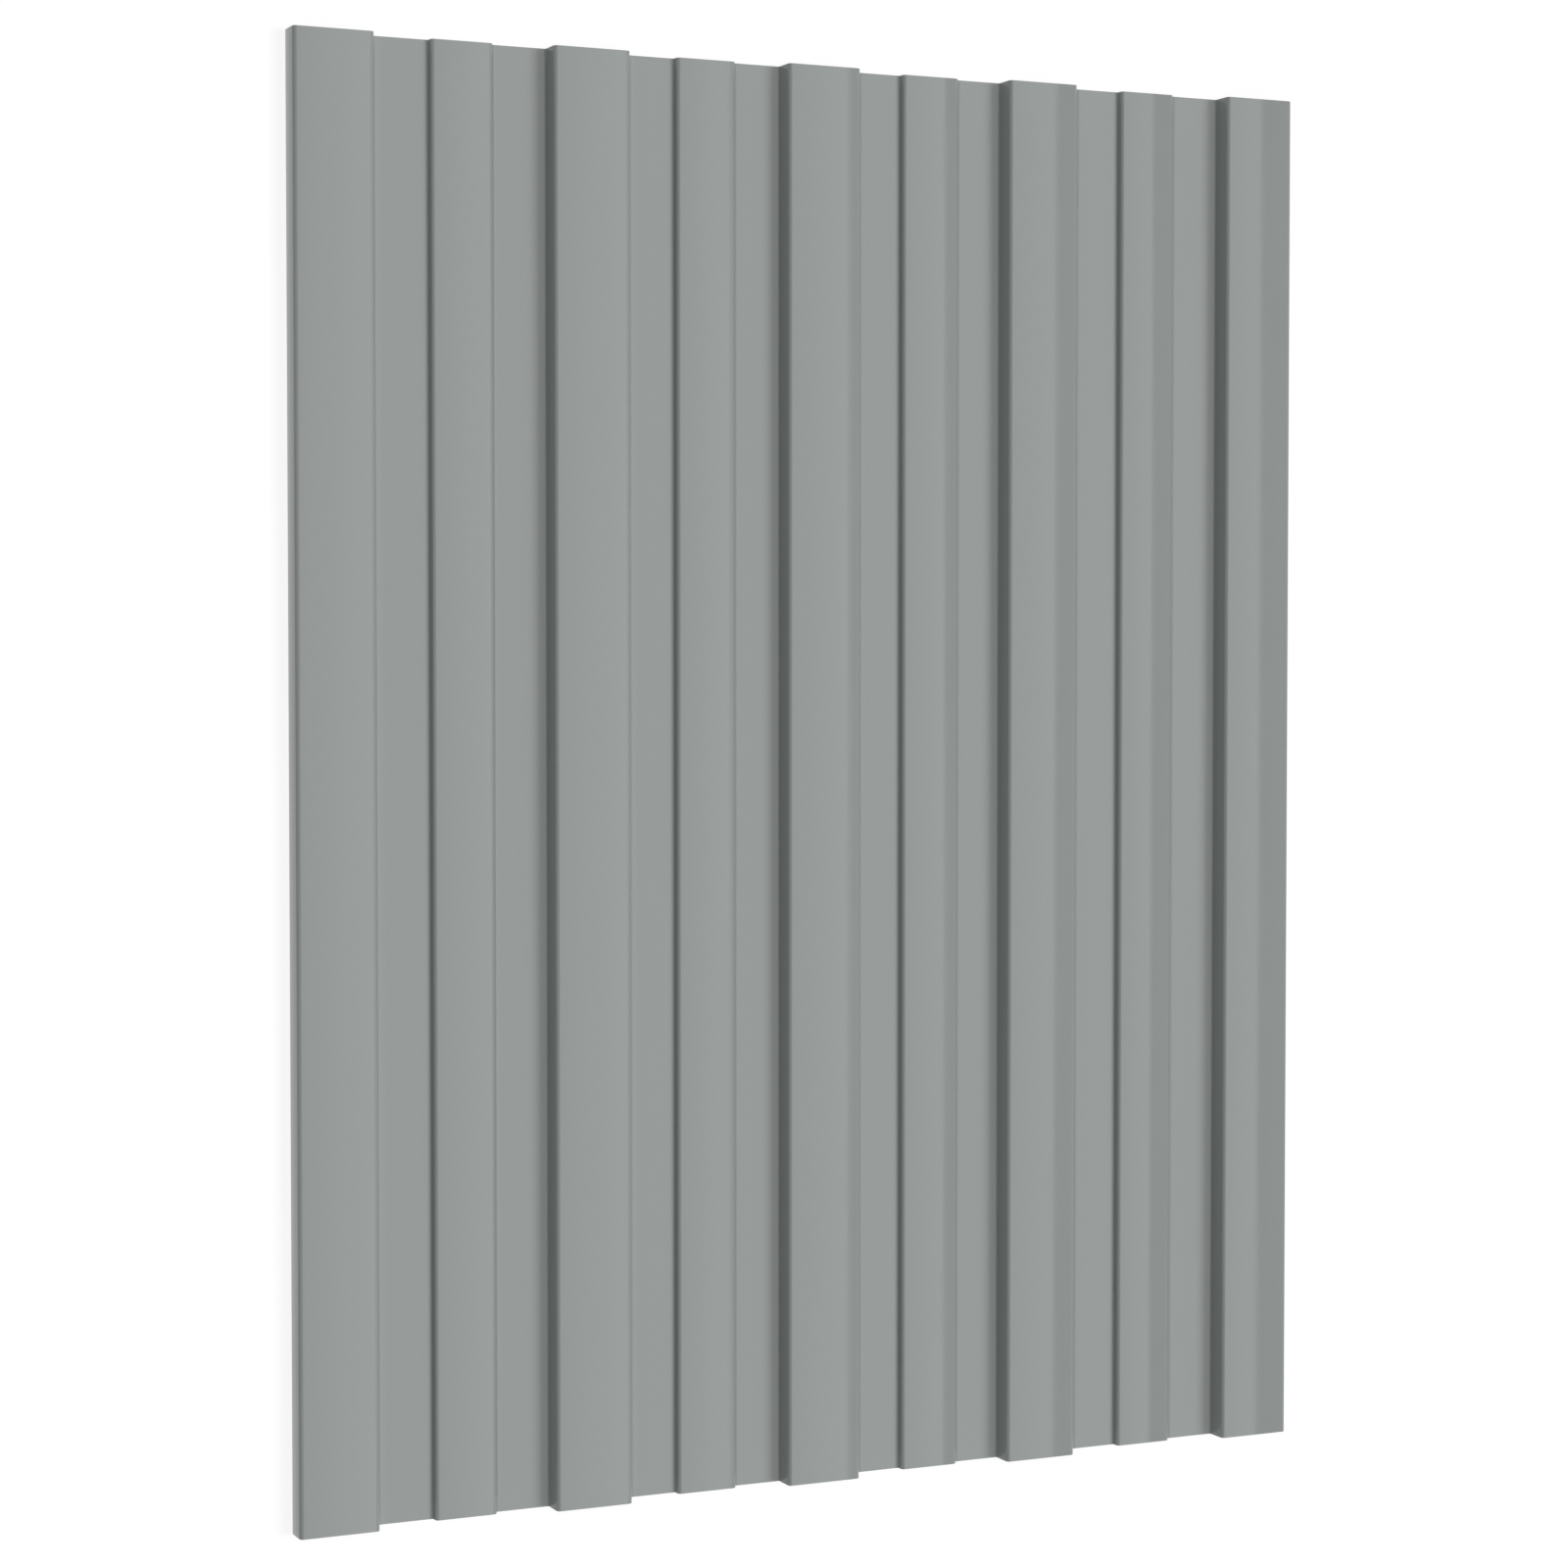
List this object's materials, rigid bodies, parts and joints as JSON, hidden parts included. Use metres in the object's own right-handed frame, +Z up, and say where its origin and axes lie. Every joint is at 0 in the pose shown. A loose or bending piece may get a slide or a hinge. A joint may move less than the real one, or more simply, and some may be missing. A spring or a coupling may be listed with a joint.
{
  "type": "corrugated metal sheet",
  "caption": "Grey coated steel roofing and cladding sheet with flat-topped box ribs, a low stiffening swage between ribs, and an edge rib on each long side that laps over the next sheet.",
  "frame": {"origin": "middle of the sheet's outline, on the plane that the valley undersides lie on", "axes": "+Y along the ribs and the sheet's length, +X across the ribs, +Z up out of the rib crowns"},
  "size_m": [0.45, 0.6, 0.009],
  "materials": {
    "grey_coating": "satin"
  },
  "bodies": {
    "root": {"profiled_sheet": "grey_coating"}
  },
  "joints": []
}
